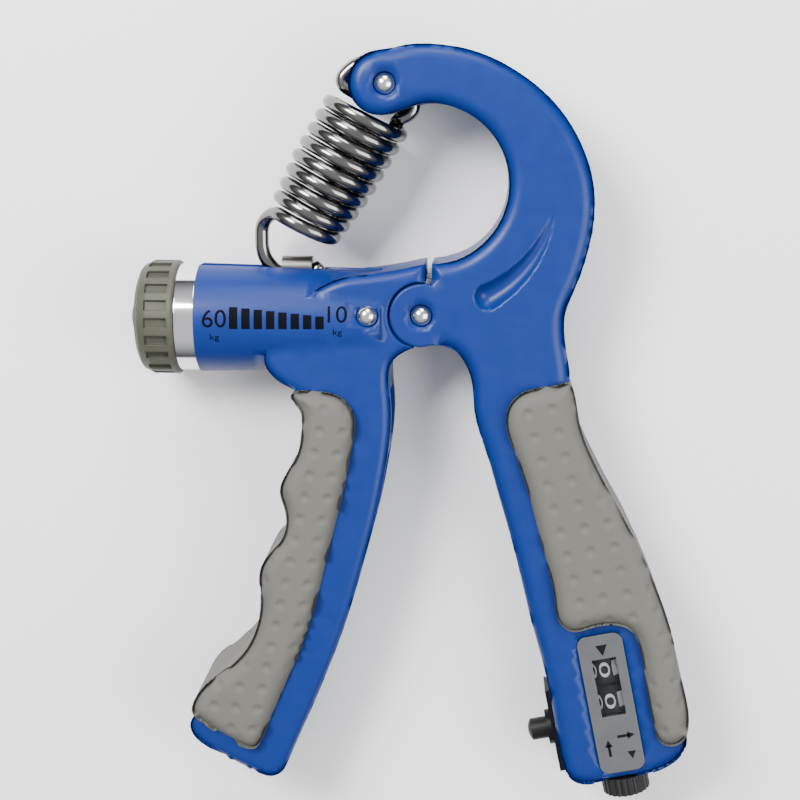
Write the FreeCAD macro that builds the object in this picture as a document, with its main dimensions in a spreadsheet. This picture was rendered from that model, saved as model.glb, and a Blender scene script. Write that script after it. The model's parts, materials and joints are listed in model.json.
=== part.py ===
import FreeCAD, Part
import math
import os
import re
from FreeCAD import Placement, Rotation, Vector

# Adjustable hand grip strengthener with a press counter, millimetres, +Z up, lying on its side.
# Design frame: the hinge axis is the Z axis and the mid plane of both handles is z = 0.
# SHIFT moves everything so that the origin is under the middle of the object, on the surface.

DIMS = [
    ("handle_half", 9.5),
    ("grip_half", 12.0),
    ("pocket_half", 5.4),
    ("barrel_drop", 1.6),
    ("barrel_left", 46.2),
    ("barrel_length", 38.0),
    ("barrel_big", 11.35),
    ("barrel_small", 10.3),
    ("barrel_bore", 6.5),
    ("slot_half", 2.4),
    ("slot_end", 8.4),
    ("ring_radius", 11.15),
    ("ring_width", 4.1),
    ("screw_radius", 4.0),
    ("screw_length", 45.0),
    ("running_fit", 0.06),
    ("knob_radius", 11.85),
    ("knob_width", 7.9),
    ("rib_pocket_depth", 0.75),
    ("rib_pocket_wide", 2.0),
    ("rib_pocket_long", 4.6),
    ("rib_count", 20),
    ("nut_radius", 6.35),
    ("nut_length", 12.0),
    ("bridge_half", 2.15),
    ("bridge_width", 6.3),
    ("wire", 1.43),
    ("coil_pitch", 3.12),
    ("coil_bottom", 6.65),
    ("coil_top", 7.95),
    ("loop_radius", 8.0),
    ("curl_radius", 3.1),
    ("corner_radius", 1.5),
    ("ear_radius", 6.45),
    ("recess_radius", 6.8),
    ("head_end", 0.7),
    ("tongue_radius", 6.4),
    ("tongue_half", 3.8),
    ("clevis_half", 4.4),
    ("clevis_radius", 6.9),
    ("washer_thick", 0.5),
    ("washer_radius", 5.0),
    ("pin_radius", 1.5),
    ("head_radius", 2.1),
    ("head_rise", 1.5),
    ("sink_radius", 2.35),
    ("sink_depth", 1.2),
    ("loop_pin", 2.0),
    ("fork_half", 1.9),
    ("arm_pin_x", -7.4),
    ("arm_pin_y", 46.2),
    ("stop_pin_x", -10.9),
    ("ring_centre_x", 1.5),
    ("ring_centre_y", 26.3),
    ("ring_inner", 16.0),
    ("groove_path", 25.4),
    ("groove_tube", 2.7),
    ("counter_x", 40.0),
    ("counter_y", -81.4),
    ("counter_turn", -78.5),
    ("case_long", 29.8),
    ("case_wide", 11.4),
    ("case_low", -2.8),
    ("case_high", 8.6),
    ("case_wall", 0.75),
    ("label_long", 30.4),
    ("label_wide", 9.5),
    ("label_thick", 0.55),
    ("window_long", 12.7),
    ("window_wide", 5.1),
    ("wheel_radius", 4.45),
    ("wheel_wide", 6.2),
    ("shaft_radius", 1.0),
    ("shaft_z", 3.6),
    ("plunger_radius", 2.35),
    ("plunger_z", -0.6),
    ("reset_radius", 5.0),
    ("reset_wide", 3.8),
    ("move_x", 2.2),
    ("move_y", 24.7),
]

doc = FreeCAD.newDocument("grip_strengthener")
sheet = doc.addObject("Spreadsheet::Sheet", "Dims")
for row, (alias, value) in enumerate(DIMS, 1):
    sheet.set("A%d" % row, alias)
    sheet.set("B%d" % row, str(value))
    sheet.setAlias("B%d" % row, alias)
doc.recompute()


def dim(alias):
    return float(getattr(sheet, alias))


def link(obj, prop, text):
    """Bind a property to sheet cells, written as words."""
    obj.setExpression(prop, re.sub(r"[a-z][a-z_]*", lambda m: "Dims." + m.group(), text))


SHIFT = Placement(Vector(dim("move_x"), dim("move_y"), dim("grip_half")), Rotation())
COUNTER = Placement(
    Vector(dim("counter_x"), dim("counter_y"), 0),
    Rotation(Vector(0, 0, 1), dim("counter_turn")),
)
BARREL_Y = -dim("barrel_drop")
SUBPARTS = []


def finish(obj, node):
    """Name a finished sub-part and put it in the object's own frame."""
    doc.recompute()
    obj.Label = node
    obj.Placement = SHIFT.multiply(obj.Placement)
    SUBPARTS.append(obj)
    return obj


# ---------------------------------------------------------------- primitives and booleans


def cylinder(name, radius, height, start, way):
    c = doc.addObject("Part::Cylinder", name)
    link(c, "Radius", radius)
    link(c, "Height", height)
    c.Placement = Placement(Vector(*start), Rotation(Vector(0, 0, 1), Vector(*way)))
    return c


def box(name, sizes, corner, frame=None):
    b = doc.addObject("Part::Box", name)
    for prop, text in zip(("Length", "Width", "Height"), sizes):
        link(b, prop, text)
    place = Placement(Vector(*corner), Rotation())
    b.Placement = place if frame is None else frame.multiply(place)
    return b


def in_frame(obj, frame):
    obj.Placement = frame.multiply(obj.Placement)
    return obj


def fuse(name, shapes):
    f = doc.addObject("Part::MultiFuse", name)
    f.Shapes = shapes
    return f


def cut(name, base, tools):
    tool = tools[0]
    if len(tools) > 1:
        tool = fuse(name + "_tools", tools)
    c = doc.addObject("Part::Cut", name)
    c.Base = base
    c.Tool = tool
    return c


def common(name, shapes):
    c = doc.addObject("Part::MultiCommon", name)
    c.Shapes = shapes
    return c


# ---------------------------------------------------------------- sketches and bodies


def origin_feature(body, role):
    for feature in body.Origin.OriginFeatures:
        if feature.Role == role:
            return feature
    raise RuntimeError("no origin feature " + role)


def new_sketch(body, name, role="XY_Plane"):
    s = body.newObject("Sketcher::SketchObject", name)
    s.AttachmentSupport = (origin_feature(body, role), [""])
    s.MapMode = "FlatFace"
    return s


def draw(sketch, runs):
    """Closed outline. A run is a line (2 points), a smooth curve (3 or more) or an arc."""
    for run in runs:
        if run[0] == "arc":
            _, centre, radius, start, end = run
            circle = Part.Circle(Vector(centre[0], centre[1], 0), Vector(0, 0, 1), radius)
            arc = Part.ArcOfCircle(circle, math.radians(start), math.radians(end))
            sketch.addGeometry(arc, False)
            continue
        points = [Vector(x, y, 0) for x, y in run]
        if len(points) == 2:
            sketch.addGeometry(Part.LineSegment(points[0], points[1]), False)
        else:
            curve = Part.BSplineCurve()
            curve.interpolate(points)
            sketch.addGeometry(curve, False)


def symmetric(pad):
    if hasattr(pad, "SideType"):
        pad.SideType = "Symmetric"
    else:
        pad.Midplane = True


def slab(name, runs, thickness):
    """An outline padded both ways from the mid plane."""
    body = doc.addObject("PartDesign::Body", name)
    sketch = new_sketch(body, name + "_outline")
    draw(sketch, runs)
    pad = body.newObject("PartDesign::Pad", name + "_pad")
    pad.Profile = sketch
    symmetric(pad)
    link(pad, "Length", thickness)
    doc.recompute()
    return body


def smooth_slab(name, points, thickness):
    """A flat moulding whose outline is one closed smooth curve."""
    body = doc.addObject("PartDesign::Body", name)
    sketch = new_sketch(body, name + "_outline")
    curve = Part.BSplineCurve()
    curve.interpolate([Vector(x, y, 0) for x, y in points], PeriodicFlag=True)
    sketch.addGeometry(curve, False)
    pad = body.newObject("PartDesign::Pad", name + "_pad")
    pad.Profile = sketch
    symmetric(pad)
    link(pad, "Length", thickness)
    doc.recompute()
    return body


# ---------------------------------------------------------------- finger handle


def circle_point(centre, radius, angle):
    a = math.radians(angle)
    return (centre[0] + radius * math.cos(a), centre[1] + radius * math.sin(a))


# outline of the finger handle: hinge head, shelf, the side facing the palm handle, foot,
# and the side that the soft grip is moulded round
FINGER_LEG = [
    (-14.0, 7.9), (-9.0, 8.5), (-4.7, 9.2), (0.6, 10.3), (5.5, 10.0), (8.5, 6.5), (8.3, 1.5),
    (4.5, -4.0), (-0.5, -6.3), (-4.2, -7.9), (-6.0, -9.7), (-6.7, -12.8), (-6.3, -18.0),
    (-6.4, -25.0), (-7.6, -33.5), (-9.4, -42.5), (-11.9, -52.0), (-14.6, -61.5),
    (-18.1, -71.8), (-22.8, -83.5), (-26.4, -91.8), (-28.2, -96.0), (-29.6, -98.3),
    (-31.8, -99.3), (-34.6, -98.6), (-38.2, -97.0), (-43.0, -94.4), (-46.6, -92.2),
    (-48.6, -90.0), (-49.0, -87.6), (-47.6, -85.4), (-44.8, -82.4), (-41.0, -79.2),
    (-36.5, -76.2), (-32.8, -71.0), (-30.6, -65.0), (-30.3, -59.5), (-29.6, -54.0),
    (-26.6, -48.5), (-24.8, -42.5), (-25.4, -36.5), (-23.4, -31.5), (-21.5, -25.5),
    (-21.7, -21.0), (-23.6, -17.6), (-26.8, -15.2), (-29.8, -13.2), (-32.0, -10.0),
    (-30.0, -4.0), (-23.5, 3.5),
]
# outline of the soft grip: four finger grooves, foot, and the visible border up the handle
FINGER_GRIP = [
    (-20.7, -56.0), (-18.0, -45.0), (-15.6, -35.0), (-13.8, -25.5), (-13.5, -21.2),
    (-15.1, -17.8), (-18.4, -15.9), (-22.0, -15.5), (-25.0, -15.5), (-26.4, -16.2),
    (-24.8, -19.0), (-24.3, -22.2), (-24.6, -26.0), (-26.0, -30.1), (-28.0, -33.3),
    (-28.9, -36.5), (-28.1, -39.6), (-27.7, -42.6), (-28.5, -46.2), (-30.8, -49.2),
    (-32.8, -51.9), (-33.5, -55.0), (-33.3, -58.8), (-33.6, -63.2), (-35.0, -67.8),
    (-38.0, -72.4), (-42.0, -75.8), (-45.6, -78.8), (-47.7, -81.8), (-48.2, -84.4),
    (-46.6, -86.4), (-43.6, -88.6), (-39.8, -90.8), (-37.0, -92.2), (-35.0, -92.2),
    (-33.6, -90.4), (-31.2, -84.8), (-27.6, -76.4), (-24.0, -67.5),
]


def finger_leg():
    """The leg and the hinge head, one flat moulding with rounded rims."""
    return smooth_slab("finger_leg", FINGER_LEG, "2 * handle_half")


def finger_pockets():
    """Cored-out pockets in the inner side, with slanting ribs left between them."""
    cells = [
        [(-2.0, -15.5), (-11.0, -16.5), (-11.8, -25.0), (-2.0, -29.0)],
        [(-2.0, -31.5), (-12.0, -27.5), (-13.8, -41.0), (-4.0, -46.0)],
        [(-5.0, -48.5), (-14.2, -43.5), (-17.4, -56.5), (-8.0, -62.0)],
        [(-9.0, -64.5), (-18.0, -59.0), (-22.6, -71.5), (-14.0, -78.0)],
    ]
    bodies = []
    for i, cell in enumerate(cells, 1):
        runs = [[cell[k], cell[(k + 1) % 4]] for k in range(4)]
        bodies.append(slab("finger_pocket_%d" % i, runs, "2 * pocket_half"))
    return bodies


def barrel_blank():
    cone = doc.addObject("Part::Cone", "barrel_blank")
    link(cone, "Radius1", "barrel_big")
    link(cone, "Radius2", "barrel_small")
    link(cone, "Height", "barrel_length")
    along = Rotation(Vector(0, 0, 1), Vector(1, 0, 0))
    cone.Placement = Placement(Vector(-dim("barrel_left"), BARREL_Y, 0), along)
    return cone


def build_finger_body():
    half = dim("handle_half")
    left = -dim("barrel_left")
    solid = fuse("finger_solid", [finger_leg(), barrel_blank()])
    tools = finger_pockets()
    # only the tongue reaches past the hinge's own ears
    tools.append(box("head_trim", ("20", "40", "40"), (dim("head_end"), -20, -20)))
    tools.append(cylinder("finger_bore", "barrel_bore", "barrel_left - slot_end + 1",
                          (left - 1, BARREL_Y, 0), (1, 0, 0)))
    tools.append(box("finger_slot", ("barrel_left - slot_end + 1", "20", "2 * slot_half"),
                     (left - 1, BARREL_Y, -dim("slot_half"))))
    tools.append(cylinder("stop_hole", "pin_radius", "30", (dim("stop_pin_x"), 0, -15), (0, 0, 1)))
    # recesses for the two ears of the palm handle, front and back
    for name, z in (("front", dim("tongue_half")), ("back", -half - 3)):
        tools.append(cylinder("recess_" + name, "recess_radius", "handle_half + 3 - tongue_half",
                              (0, 0, z), (0, 0, 1)))
        tools.append(box("recess_side_" + name,
                         ("8", "10", "handle_half + 3 - tongue_half"), (0.0, -5.2, z)))
        tools.append(cylinder("stop_sink_" + name, "sink_radius", "6",
                              (dim("stop_pin_x"), 0, half + 0.3 if z > 0 else -half - 0.3),
                              (0, 0, 1 if z > 0 else -1)))
    body = cut("finger_cut", solid, tools)
    tongue = cut(
        "finger_tongue",
        fuse("tongue_blank", [
            cylinder("tongue_disc", "tongue_radius", "2 * tongue_half",
                     (0, 0, -dim("tongue_half")), (0, 0, 1)),
            box("tongue_neck", ("8", "8", "2 * tongue_half"), (-8, -4, -dim("tongue_half"))),
        ]),
        [cylinder("tongue_hole", "pin_radius", "20", (0, 0, -10), (0, 0, 1))],
    )
    cleared = cut("finger_cleared", body,
                  [cylinder("tongue_space", "tongue_radius", "2 * tongue_half",
                            (0, 0, -dim("tongue_half")), (0, 0, 1))])
    finish(fuse("finger_handle", [cleared, tongue]), "finger_body")


def build_finger_grip():
    outer = smooth_slab("finger_grip_outer", FINGER_GRIP, "2 * grip_half")
    leg = doc.getObject("finger_leg")
    barrel = doc.getObject("barrel_blank")
    finish(cut("finger_overlay", outer, [leg, barrel]), "finger_grip")


# ---------------------------------------------------------------- palm handle

# outline of the palm handle: over the arm, down the back, foot, and up the inner side
PALM_LEG = [
    (-5.6, 53.2), (-1.0, 53.9), (4.0, 53.7), (10.2, 52.5), (16.4, 49.9), (22.5, 45.9),
    (27.5, 41.0), (31.7, 34.3), (33.8, 28.5), (34.6, 22.4), (34.2, 16.9), (32.8, 10.8),
    (30.8, 5.2), (29.1, 0.8), (28.9, -2.8), (29.5, -7.4), (30.2, -12.5), (29.7, -16.5),
    (29.6, -22.8), (33.0, -31.3), (37.5, -39.8), (41.5, -47.0), (45.7, -56.5),
    (49.2, -66.0), (52.0, -77.0), (54.0, -83.6), (55.9, -87.8), (55.9, -91.0),
    (53.6, -94.3), (49.3, -96.7), (43.8, -98.1), (38.7, -99.1), (35.0, -99.7),
    (32.4, -98.9), (30.9, -97.0), (30.0, -94.2), (28.6, -87.5), (27.2, -79.5),
    (23.1, -64.0), (19.5, -49.3), (15.9, -36.8), (13.5, -28.5), (10.9, -19.5),
    (10.2, -12.8), (8.9, -9.6), (7.2, -7.4), (5.2, -6.3), (2.0, -6.1), (-2.5, -6.9),
    (-7.0, -4.5), (-9.0, 1.0), (-7.6, 6.6), (-3.5, 9.8),
]
PALM_GRIP = [
    (44.1, -45.8), (48.2, -54.8), (51.8, -64.6), (54.6, -76.2), (56.1, -85.6), (55.2, -88.6),
    (52.8, -90.0), (50.6, -89.4), (49.2, -86.6), (47.2, -77.5), (45.4, -68.2), (43.6, -65.0),
    (40.6, -63.9), (35.0, -64.7), (31.4, -65.4), (29.6, -64.4), (27.8, -58.6), (24.9, -46.8),
    (21.9, -35.6), (19.1, -27.5), (17.4, -21.6), (17.9, -18.4), (19.9, -15.9), (23.6, -14.5),
    (28.0, -13.7), (30.2, -13.5), (31.0, -15.0), (32.3, -21.6), (35.6, -30.0), (40.1, -38.4),
]


def palm_leg():
    """The palm handle's flat moulding, with the C-shaped arm over the hinge."""
    centre = (dim("ring_centre_x"), dim("ring_centre_y"))
    points = list(PALM_LEG)
    for angle in (-90, -70, -48, -25, 0, 25, 50, 75, 94):
        points.append(circle_point(centre, dim("ring_inner"), angle))
    points.append((-3.4, 41.2))
    for angle in (290, 262, 232, 200, 168, 134, 104):
        points.append(circle_point((-8.3, 46.3), 6.35, angle))
    return smooth_slab("palm_leg", points, "2 * handle_half")


def palm_pockets():
    cells = [
        [(6.0, -17.0), (14.6, -17.0), (17.0, -27.0), (9.0, -31.5)],
        [(9.5, -34.0), (17.6, -29.5), (20.6, -40.5), (13.0, -46.0)],
        [(13.5, -48.5), (21.2, -43.0), (25.0, -57.5), (17.0, -63.0)],
    ]
    bodies = []
    for i, cell in enumerate(cells, 1):
        runs = [[cell[k], cell[(k + 1) % 4]] for k in range(4)]
        bodies.append(slab("palm_pocket_%d" % i, runs, "2 * pocket_half"))
    return bodies


def groove_tools():
    """The scooped decoration at the root of the arm, on both faces."""
    tools = []
    centre = Vector(dim("ring_centre_x"), dim("ring_centre_y"), 0)
    path = dim("groove_path")
    half = dim("handle_half")
    tube = dim("groove_tube")
    for side in (1, -1):
        # the ring is tilted so that the scoop runs out to nothing at its upper end
        deep = math.radians(-62.0)
        across = Rotation(Vector(math.cos(math.radians(-128.0)), math.sin(math.radians(-128.0)), 0),
                          -3.6 * side)
        ring = doc.addObject("Part::Torus", "groove_ring_%s" % ("front" if side > 0 else "back"))
        link(ring, "Radius1", "groove_path")
        link(ring, "Radius2", "groove_tube")
        ring.Angle3 = 56.0
        base = Placement(centre + Vector(0, 0, side * (half + 1.35)), across)
        spin = Placement(Vector(0, 0, 0), Rotation(Vector(0, 0, 1), -62.0))
        ring.Placement = base.multiply(spin)
        ball = doc.addObject("Part::Sphere", "groove_ball_%s" % ("front" if side > 0 else "back"))
        link(ball, "Radius", "groove_tube")
        start = base.multVec(Vector(path * math.cos(deep), path * math.sin(deep), 0))
        ball.Placement = Placement(start, Rotation())
        tools.extend([ring, ball])
    return tools


def counter_cuts():
    """Room in the palm handle for the counter, in the counter's own frame."""
    low = dim("case_low")
    long_half = dim("case_long") / 2
    wide_half = dim("case_wide") / 2
    tools = [
        box("case_room", ("case_long", "case_wide", "case_high - case_low"),
            (-long_half, -wide_half, low), COUNTER),
        rounded_plate("label_room", dim("label_long") + 0.2, dim("label_wide") + 0.2, 2.1,
                      dim("case_high"), 3.0),
        box("strip_room", ("18.4", "3", "9.6"), (-3.1, -15.0, -5.4), COUNTER),
    ]
    bore = cylinder("plunger_bore", "plunger_radius + running_fit", "12",
                    (6.6, -16.0, dim("plunger_z")), (0, 1, 0))
    tools.append(in_frame(bore, COUNTER))
    hole = cylinder("shaft_hole", "shaft_radius + running_fit", "8",
                    (long_half - 1, 0, dim("shaft_z")), (1, 0, 0))
    tools.append(in_frame(hole, COUNTER))
    return tools


def rounded_plate(name, long, wide, corner, low, thick):
    """A flat plate with round corners, centred in the counter's frame."""
    body = doc.addObject("PartDesign::Body", name)
    sketch = new_sketch(body, name + "_outline")
    x, y, r = long / 2, wide / 2, corner
    runs = []
    corners = [(x - r, y - r, 0), (-x + r, y - r, 90), (-x + r, -y + r, 180), (x - r, -y + r, 270)]
    for i, (cx, cy, a) in enumerate(corners):
        runs.append(("arc", (cx, cy), r, a, a + 90))
        nx, ny, na = corners[(i + 1) % 4]
        runs.append([circle_point((cx, cy), r, a + 90), circle_point((nx, ny), r, na)])
    draw(sketch, runs)
    pad = body.newObject("PartDesign::Pad", name + "_pad")
    pad.Profile = sketch
    pad.Length = thick
    doc.recompute()
    body.Placement = COUNTER.multiply(Placement(Vector(0, 0, low), Rotation()))
    return body


def build_palm_body():
    half = dim("handle_half")
    clevis = dim("clevis_half")
    # everything left of the notch goes, but for the two round ears
    notch = cut("notch_room",
                box("notch_box", ("16", "22", "30"), (-13.9, -9.0, -15.0)),
                [cylinder("ears", "ear_radius", "40", (0, 0, -20), (0, 0, 1))])
    tools = [notch] + palm_pockets() + groove_tools() + counter_cuts()
    tools.append(cylinder("clevis_room", "clevis_radius", "2 * clevis_half",
                          (0, 0, -clevis), (0, 0, 1)))
    tools.append(box("clevis_side", ("8", "16", "2 * clevis_half"), (-8.0, -8.0, -clevis)))
    tools.append(cylinder("hinge_hole", "pin_radius + running_fit", "30", (0, 0, -15), (0, 0, 1)))
    tools.append(box("fork", ("18", "30", "2 * fork_half"), (-17.0, 32.0, -dim("fork_half"))))
    pin = (dim("arm_pin_x"), dim("arm_pin_y"))
    tools.append(cylinder("arm_pin_hole", "loop_pin", "30", (pin[0], pin[1], -15), (0, 0, 1)))
    for side, way in (("front", 1), ("back", -1)):
        face = way * (half - dim("sink_depth"))
        tools.append(cylinder("hinge_sink_" + side, "sink_radius", "6", (0, 0, face), (0, 0, way)))
        tools.append(cylinder("arm_sink_" + side, "sink_radius", "6",
                              (pin[0], pin[1], face), (0, 0, way)))
    finish(cut("palm_handle", palm_leg(), tools), "palm_body")


def build_palm_grip():
    outer = smooth_slab("palm_grip_outer", PALM_GRIP, "2 * grip_half")
    finish(cut("palm_overlay", outer, [doc.getObject("palm_leg")]), "palm_grip")


# ---------------------------------------------------------------- pins and washers


def domed_pin(node, x, y, shaft, seat):
    """A pin along Z with a domed head in each counterbore; seat is the depth of the head."""
    rise = dim("head_rise")
    radius = dim("head_radius")
    ball_radius = (radius ** 2 + rise ** 2) / (2 * rise)
    pieces = [cylinder(node + "_shaft", shaft, "%.3f" % (2 * seat), (x, y, -seat), (0, 0, 1))]
    for way, name in ((1, "front"), (-1, "back")):
        ball = doc.addObject("Part::Sphere", "%s_ball_%s" % (node, name))
        ball.Radius = ball_radius
        top = way * (seat + 0.35 + rise)
        ball.Placement = Placement(Vector(x, y, top - way * ball_radius), Rotation())
        post = cylinder("%s_post_%s" % (node, name), "head_radius", "head_rise + 0.35",
                        (x, y, way * seat), (0, 0, way))
        tall = cylinder("%s_rim_%s" % (node, name), "head_radius", "0.35",
                        (x, y, way * seat), (0, 0, way))
        dome = common("%s_dome_%s" % (node, name), [ball, post])
        pieces.extend([dome, tall])
    finish(fuse(node + "_whole", pieces), node)


def build_pins():
    seat = dim("handle_half") - dim("sink_depth")
    domed_pin("hinge_pin", 0, 0, "pin_radius", seat + 0.05)
    domed_pin("spring_pin", dim("arm_pin_x"), dim("arm_pin_y"), "loop_pin", seat)
    domed_pin("stop_pin", dim("stop_pin_x"), 0, "pin_radius", dim("handle_half") + 0.3)


def build_washers():
    low = dim("tongue_half")
    for node, z in (("hinge_washer_front", low), ("hinge_washer_back", -low - dim("washer_thick"))):
        disc = cylinder(node + "_disc", "washer_radius", "washer_thick", (0, 0, z), (0, 0, 1))
        hole = cylinder(node + "_hole", "pin_radius", "4", (0, 0, z - 1), (0, 0, 1))
        finish(cut(node + "_ring", disc, [hole]), node)


# ---------------------------------------------------------------- adjuster


def build_collar():
    left = -dim("barrel_left")
    ring = cylinder("collar_ring", "ring_radius", "ring_width",
                    (left - dim("ring_width"), BARREL_Y, 0), (1, 0, 0))
    hole = cylinder("collar_hole", "screw_radius + running_fit", "20", (left - 10, BARREL_Y, 0),
                    (1, 0, 0))
    finish(cut("collar", ring, [hole]), "barrel_collar")


def revolved(name, points):
    """A body turned about its own X axis from a closed half profile."""
    body = doc.addObject("PartDesign::Body", name)
    sketch = new_sketch(body, name + "_profile")
    runs = [[points[i], points[(i + 1) % len(points)]] for i in range(len(points))]
    draw(sketch, runs)
    turn = body.newObject("PartDesign::Revolution", name + "_turn")
    turn.Profile = sketch
    turn.ReferenceAxis = (origin_feature(body, "X_Axis"), [""])
    turn.Angle = 360
    doc.recompute()
    return body


def knob_with_pockets():
    """Cut one pocket down from the rim to the rib depth, then repeat it round the axis."""
    big = dim("knob_radius")
    wide = dim("knob_width")
    face = -dim("barrel_left") - dim("ring_width") - 0.1
    bore = dim("screw_radius")
    points = [
        (0.0, bore), (-wide, bore), (-wide, big - 1.6), (-wide + 0.5, big - 0.95),
        (-wide + 2.4, big), (-0.4, big), (0.0, big - 0.4),
    ]
    knob = revolved("knob_blank", points)
    sketch = new_sketch(knob, "rib_pocket_profile", "XY_Plane")
    x0 = -1.3
    x1 = x0 - dim("rib_pocket_long")
    low = big - dim("rib_pocket_depth")
    corners = [(x0, low), (x1, low), (x1, big + 1.0), (x0, big + 1.0)]
    draw(sketch, [[corners[i], corners[(i + 1) % 4]] for i in range(4)])
    pocket = knob.newObject("PartDesign::Pocket", "rib_pocket")
    pocket.Profile = sketch
    symmetric(pocket)
    link(pocket, "Length", "rib_pocket_wide")
    doc.recompute()
    pattern = knob.newObject("PartDesign::PolarPattern", "rib_pockets")
    pattern.Originals = [pocket]
    pattern.Axis = (origin_feature(knob, "X_Axis"), [""])
    pattern.Angle = 360
    link(pattern, "Occurrences", "rib_count")
    knob.Tip = pattern
    doc.recompute()
    knob.Placement = Placement(Vector(face, BARREL_Y, 0), Rotation())
    finish(knob, "adjuster_knob")


def build_knob_cap():
    """The end cap with its small convex nub, sitting on the outer face of the knob."""
    face = -dim("barrel_left") - dim("ring_width") - 0.1 - dim("knob_width")
    points = [(0.0, 0.0), (0.0, 9.4), (-0.5, 9.0), (-0.7, 4.6), (-1.6, 3.8), (-2.3, 2.2), (-2.5, 0.0)]
    cap = revolved("knob_cap_turned", points)
    cap.Placement = Placement(Vector(face, BARREL_Y, 0), Rotation())
    finish(cap, "knob_cap")


def build_screw():
    left = -dim("barrel_left") - dim("ring_width") - 0.1 - dim("knob_width")
    rod = cylinder("screw_rod", "screw_radius", "screw_length", (left, BARREL_Y, 0), (1, 0, 0))
    doc.recompute()
    finish(rod, "adjuster_screw")


def build_nut():
    """The travelling nut: a round body on the screw, and a bridge out through the slot."""
    mid = -26.0
    half_long = dim("nut_length") / 2
    half_bridge = dim("bridge_width") / 2
    body = cylinder("nut_body", "nut_radius", "nut_length", (mid - half_long, BARREL_Y, 0), (1, 0, 0))
    neck = box("nut_neck", ("bridge_width", "10.7", "2 * bridge_half"),
               (mid - half_bridge, BARREL_Y, -dim("bridge_half")))
    top = cylinder("nut_bridge", "bridge_half", "bridge_width", (mid - half_bridge, 9.1, 0), (1, 0, 0))
    blank = fuse("nut_blank", [body, neck, top])
    bore = cylinder("nut_thread", "screw_radius + running_fit", "20", (mid - 10, BARREL_Y, 0), (1, 0, 0))
    eye = box("nut_eye", ("20", "4.5", "2 * wire + 0.3"), (mid - 10, 5.2, -dim("wire") - 0.15))
    finish(cut("nut_cut", blank, [bore, eye]), "travelling_nut")


# ---------------------------------------------------------------- spring


def tube_along(edges, radius):
    """Sweep a round wire along a path of tangent edges."""
    wire = Part.Wire(edges)
    first = wire.OrderedEdges[0]
    start = wire.OrderedVertexes[0].Point
    p0 = first.FirstParameter
    if first.valueAt(p0).distanceToPoint(start) > 1e-6:
        p0 = first.LastParameter
    way = first.tangentAt(p0)
    profile = Part.Wire([Part.makeCircle(radius, start, way)])
    return wire.makePipeShell([profile], True, True)


def arc_edge(centre, radius, start, end):
    """Arc in the mid plane, from one angle to another, either way round."""
    pts = [circle_point(centre, radius, a) for a in (start, (start + end) / 2, end)]
    return Part.Arc(*[Vector(x, y, 0) for x, y in pts]).toShape()


def line_edge(a, b):
    return Part.LineSegment(Vector(a[0], a[1], 0), Vector(b[0], b[1], 0)).toShape()


def solid_feature(name, shape, node):
    f = doc.addObject("Part::Feature", name)
    f.Shape = shape
    f.Placement = Placement()
    return finish(f, node)


HOOK_CENTRE = (-26.4, 13.9)
HOOK_RADIUS = 7.0
LOOP_CENTRE = (-9.9, 42.9)
CURL_ANGLE = -13.0
COIL_START = Vector(-25.05, 17.16, 0)
COIL_AXIS = Vector(0.511, 0.860, 0).normalize()
COIL_SIDE = Vector(-0.860, 0.511, 0).normalize()


def coil(turn_from, turn_to, radius_from, radius_to):
    """A helix about the spring's axis; turns are counted from the hook's side."""
    pitch = dim("coil_pitch")
    height = pitch * (turn_to - turn_from)
    angle = math.degrees(math.atan2(radius_to - radius_from, height))
    helix = Part.makeHelix(pitch, height, radius_from, angle)
    # the helix starts on the side of the hook, its turns rising to the right at the front
    frame = FreeCAD.Matrix(
        COIL_SIDE.x, 0, COIL_AXIS.x, 0,
        COIL_SIDE.y, 0, COIL_AXIS.y, 0,
        0, 1, 0, 0,
        0, 0, 0, 1,
    )
    origin = COIL_START + COIL_AXIS * (pitch * turn_from)
    place = Placement(origin, Placement(frame).Rotation)
    spin = Placement(Vector(), Rotation(Vector(0, 0, 1), 360.0 * turn_from))
    place = place.multiply(spin)
    start = place.multVec(Vector(radius_from, 0, 0))
    helix.Placement = place
    edge = helix.Edges[0]
    way = edge.tangentAt(edge.FirstParameter)
    profile = Part.Wire([Part.makeCircle(dim("wire"), start, way)])
    return Part.Wire(helix.Edges).makePipeShell([profile], True, True)


def build_spring():
    wire = dim("wire")
    left_x = HOOK_CENTRE[0] - HOOK_RADIUS
    tip = arc_edge(HOOK_CENTRE, HOOK_RADIUS, 283.0, 318.0)
    solid_feature("hook_end_wire", tube_along([tip], wire), "spring_hook_end")
    corner = (left_x + 2.3, 18.3)
    hook = [
        arc_edge(HOOK_CENTRE, HOOK_RADIUS, 281.0, 180.0),
        line_edge((left_x, HOOK_CENTRE[1]), (left_x, corner[1])),
        arc_edge(corner, 2.3, 180.0, 75.0),
    ]
    solid_feature("hook_wire", tube_along(hook, wire), "spring_hook")
    low = dim("coil_bottom")
    top = dim("coil_top")
    mid = low + (top - low) * 0.75
    solid_feature("coil_low_wire", coil(0.09, 5.45, low, top), "spring_coils_lower")
    solid_feature("coil_top_wire", coil(5.56, 8.42, top, top), "spring_coils_upper")
    solid_feature("loop_wire", tube_along(loop_path(), wire), "spring_loop")


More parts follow.
